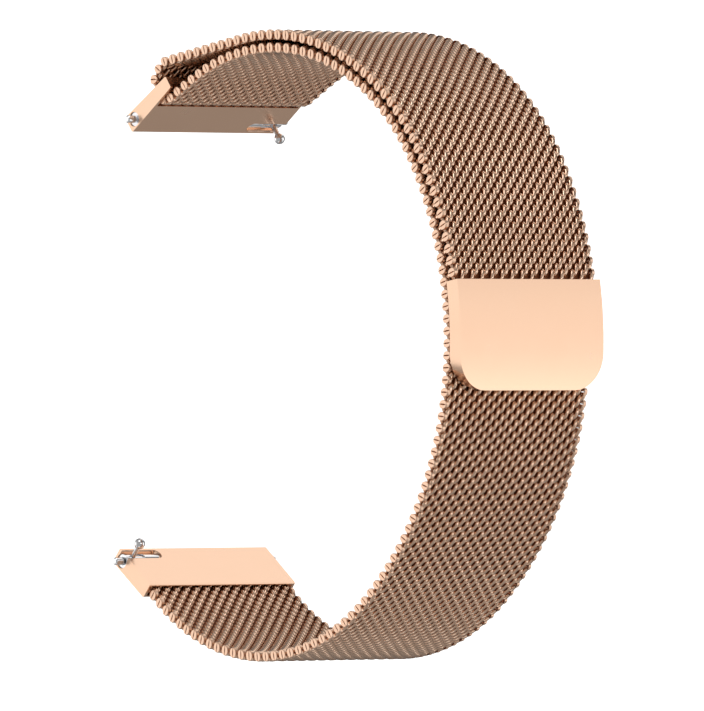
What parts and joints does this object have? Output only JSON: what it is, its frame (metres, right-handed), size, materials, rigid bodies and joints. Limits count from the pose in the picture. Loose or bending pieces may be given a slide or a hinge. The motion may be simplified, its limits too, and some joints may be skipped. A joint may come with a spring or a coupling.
{
  "type": "watch strap",
  "caption": "Woven metal mesh watch strap in an open loop, held by a magnetic clasp, with a quick-release spring bar in each end connector.",
  "frame": {"origin": "centre of the bounding box in plan, at the lower ends of the two spring bars", "axes": "+Z along the strap's width and both spring bars, +X from the watch side towards the clasp, +Y from the lower connector towards the upper one"},
  "size_m": [0.0554, 0.0692, 0.024],
  "materials": {
    "mesh": "rose-gold plated woven steel wire, bright",
    "connector": "rose-gold plated, fine satin",
    "clasp": "rose-gold plated, fine satin",
    "back_plate": "rose-gold plated, plain",
    "magnet": "nickel-coated sintered magnet",
    "bar_steel": "polished stainless steel",
    "pin_steel": "drawn stainless steel",
    "spring_wire": "drawn spring steel"
  },
  "bodies": {
    "band_main": {"band_main_1": "mesh", "band_main_2": "mesh", "band_main_3": "mesh", "band_main_4": "mesh", "band_main_5": "mesh", "band_main_6": "mesh", "band_main_7": "mesh", "band_main_8": "mesh", "band_main_9": "mesh", "band_fold_inner": "mesh", "band_fold_turn": "mesh", "band_fold_outer": "mesh"},
    "lower_link_8": {"band_lower_8": "mesh"},
    "lower_link_7": {"band_lower_7": "mesh"},
    "lower_link_6": {"band_lower_6": "mesh"},
    "lower_link_5": {"band_lower_5": "mesh"},
    "lower_link_4": {"band_lower_4": "mesh"},
    "lower_link_3": {"band_lower_3": "mesh"},
    "lower_link_2": {"band_lower_2": "mesh"},
    "lower_link_1": {"band_lower_1": "mesh"},
    "lower_connector": {"lower_connector": "connector", "lower_cross_pin": "pin_steel", "band_lower_end": "mesh"},
    "flap_link_1": {"band_flap_1": "mesh"},
    "flap_link_2": {"band_flap_2": "mesh"},
    "flap_link_3": {"band_flap_3": "mesh"},
    "flap_link_4": {"band_flap_4": "mesh"},
    "flap_link_5": {"band_flap_5": "mesh"},
    "flap_link_6": {"band_flap_6": "mesh"},
    "flap_link_7": {"band_flap_7": "mesh"},
    "clasp": {"clasp_shell": "clasp", "clasp_back_plate": "back_plate", "clasp_magnets": "magnet", "band_clasp_end": "mesh"},
    "upper_connector": {"upper_connector": "connector"},
    "lower_bar": {"lower_bar_tube": "bar_steel", "lower_bar_fixed_tip": "bar_steel", "lower_bar_spring": "spring_wire"},
    "lower_knob": {"lower_bar_plunger": "bar_steel", "lower_bar_lever": "bar_steel"},
    "upper_bar": {"upper_bar_tube": "bar_steel", "upper_bar_fixed_tip": "bar_steel", "upper_bar_spring": "spring_wire"},
    "upper_knob": {"upper_bar_plunger": "bar_steel", "upper_bar_lever": "bar_steel"}
  },
  "joints": [
    {"name": "lower_bend", "type": "hinge", "parent": "band_main", "child": "lower_link_8", "pos_m": [0.02426, -0.00783, 0.012], "axis": [0, 0, 1], "range_deg": [-4, 10]},
    {"name": "lower_bend_2", "type": "hinge", "parent": "lower_link_8", "child": "lower_link_7", "pos_m": [0.0216, -0.01544, 0.012], "axis": [0, 0, 1], "range_deg": [-4, 10]},
    {"name": "lower_bend_3", "type": "hinge", "parent": "lower_link_7", "child": "lower_link_6", "pos_m": [0.01736, -0.02229, 0.012], "axis": [0, 0, 1], "range_deg": [-4, 10]},
    {"name": "lower_bend_4", "type": "hinge", "parent": "lower_link_6", "child": "lower_link_5", "pos_m": [0.01174, -0.02806, 0.012], "axis": [0, 0, 1], "range_deg": [-4, 10]},
    {"name": "lower_bend_5", "type": "hinge", "parent": "lower_link_5", "child": "lower_link_4", "pos_m": [0.00541, -0.03191, 0.012], "axis": [0, 0, 1], "range_deg": [-4, 10]},
    {"name": "lower_bend_6", "type": "hinge", "parent": "lower_link_4", "child": "lower_link_3", "pos_m": [-0.00176, -0.03382, 0.012], "axis": [0, 0, 1], "range_deg": [-4, 10]},
    {"name": "lower_bend_7", "type": "hinge", "parent": "lower_link_3", "child": "lower_link_2", "pos_m": [-0.00918, -0.03362, 0.012], "axis": [0, 0, 1], "range_deg": [-4, 10]},
    {"name": "lower_bend_8", "type": "hinge", "parent": "lower_link_2", "child": "lower_link_1", "pos_m": [-0.01623, -0.03134, 0.012], "axis": [0, 0, 1], "range_deg": [-4, 10]},
    {"name": "lower_connector_swing", "type": "hinge", "parent": "lower_link_1", "child": "lower_connector", "pos_m": [-0.02236, -0.02717, 0.012], "axis": [0, 0, 1], "range_deg": [-10, 10]},
    {"name": "flap_peel", "type": "hinge", "parent": "band_main", "child": "flap_link_1", "pos_m": [-0.01992, 0.03131, 0.012], "axis": [0, 0, 1], "range_deg": [0, 10]},
    {"name": "flap_peel_2", "type": "hinge", "parent": "flap_link_1", "child": "flap_link_2", "pos_m": [-0.008, 0.03353, 0.012], "axis": [0, 0, 1], "range_deg": [0, 10]},
    {"name": "flap_peel_3", "type": "hinge", "parent": "flap_link_2", "child": "flap_link_3", "pos_m": [0.00032, 0.03381, 0.012], "axis": [0, 0, 1], "range_deg": [0, 10]},
    {"name": "flap_peel_4", "type": "hinge", "parent": "flap_link_3", "child": "flap_link_4", "pos_m": [0.00836, 0.03163, 0.012], "axis": [0, 0, 1], "range_deg": [0, 10]},
    {"name": "flap_peel_5", "type": "hinge", "parent": "flap_link_4", "child": "flap_link_5", "pos_m": [0.01539, 0.02719, 0.012], "axis": [0, 0, 1], "range_deg": [0, 10]},
    {"name": "flap_peel_6", "type": "hinge", "parent": "flap_link_5", "child": "flap_link_6", "pos_m": [0.02081, 0.02086, 0.012], "axis": [0, 0, 1], "range_deg": [0, 10]},
    {"name": "flap_peel_7", "type": "hinge", "parent": "flap_link_6", "child": "flap_link_7", "pos_m": [0.02408, 0.0143, 0.012], "axis": [0, 0, 1], "range_deg": [0, 10]},
    {"name": "flap_peel_8", "type": "hinge", "parent": "flap_link_7", "child": "clasp", "pos_m": [0.02605, 0.00723, 0.012], "axis": [0, 0, 1], "range_deg": [0, 10]},
    {"name": "upper_connector_swing", "type": "hinge", "parent": "band_main", "child": "upper_connector", "pos_m": [-0.0196, 0.0286, 0.012], "axis": [0, 0, 1], "range_deg": [-8, 8]},
    {"name": "lower_bar_turn", "type": "hinge", "parent": "lower_connector", "child": "lower_bar", "pos_m": [-0.02663, -0.02377, 0.012], "axis": [0, 0, 1], "range_deg": [-12, 12]},
    {"name": "lower_knob_slide", "type": "slide", "parent": "lower_bar", "child": "lower_knob", "axis": [0, 0, -1], "range_m": [0, 0.0013], "stiffness_N_per_m": 400, "springref_m": -0.0015, "deforming": ["lower_bar_spring"]},
    {"name": "upper_bar_turn", "type": "hinge", "parent": "upper_connector", "child": "upper_bar", "pos_m": [-0.02459, 0.02498, 0.012], "axis": [0, 0, 1], "range_deg": [-12, 12]},
    {"name": "upper_knob_slide", "type": "slide", "parent": "upper_bar", "child": "upper_knob", "axis": [0, 0, 1], "range_m": [0, 0.0013], "stiffness_N_per_m": 400, "springref_m": -0.0015, "deforming": ["upper_bar_spring"]}
  ],
  "couplings": [
    {"joint": "lower_bend_2", "follows": "lower_bend", "ratio": 1},
    {"joint": "lower_bend_3", "follows": "lower_bend", "ratio": 1},
    {"joint": "lower_bend_4", "follows": "lower_bend", "ratio": 1},
    {"joint": "lower_bend_5", "follows": "lower_bend", "ratio": 1},
    {"joint": "lower_bend_6", "follows": "lower_bend", "ratio": 1},
    {"joint": "lower_bend_7", "follows": "lower_bend", "ratio": 1},
    {"joint": "lower_bend_8", "follows": "lower_bend", "ratio": 1},
    {"joint": "flap_peel_2", "follows": "flap_peel", "ratio": 1},
    {"joint": "flap_peel_3", "follows": "flap_peel", "ratio": 1},
    {"joint": "flap_peel_4", "follows": "flap_peel", "ratio": 1},
    {"joint": "flap_peel_5", "follows": "flap_peel", "ratio": 1},
    {"joint": "flap_peel_6", "follows": "flap_peel", "ratio": 1},
    {"joint": "flap_peel_7", "follows": "flap_peel", "ratio": 1},
    {"joint": "flap_peel_8", "follows": "flap_peel", "ratio": 1}
  ]
}
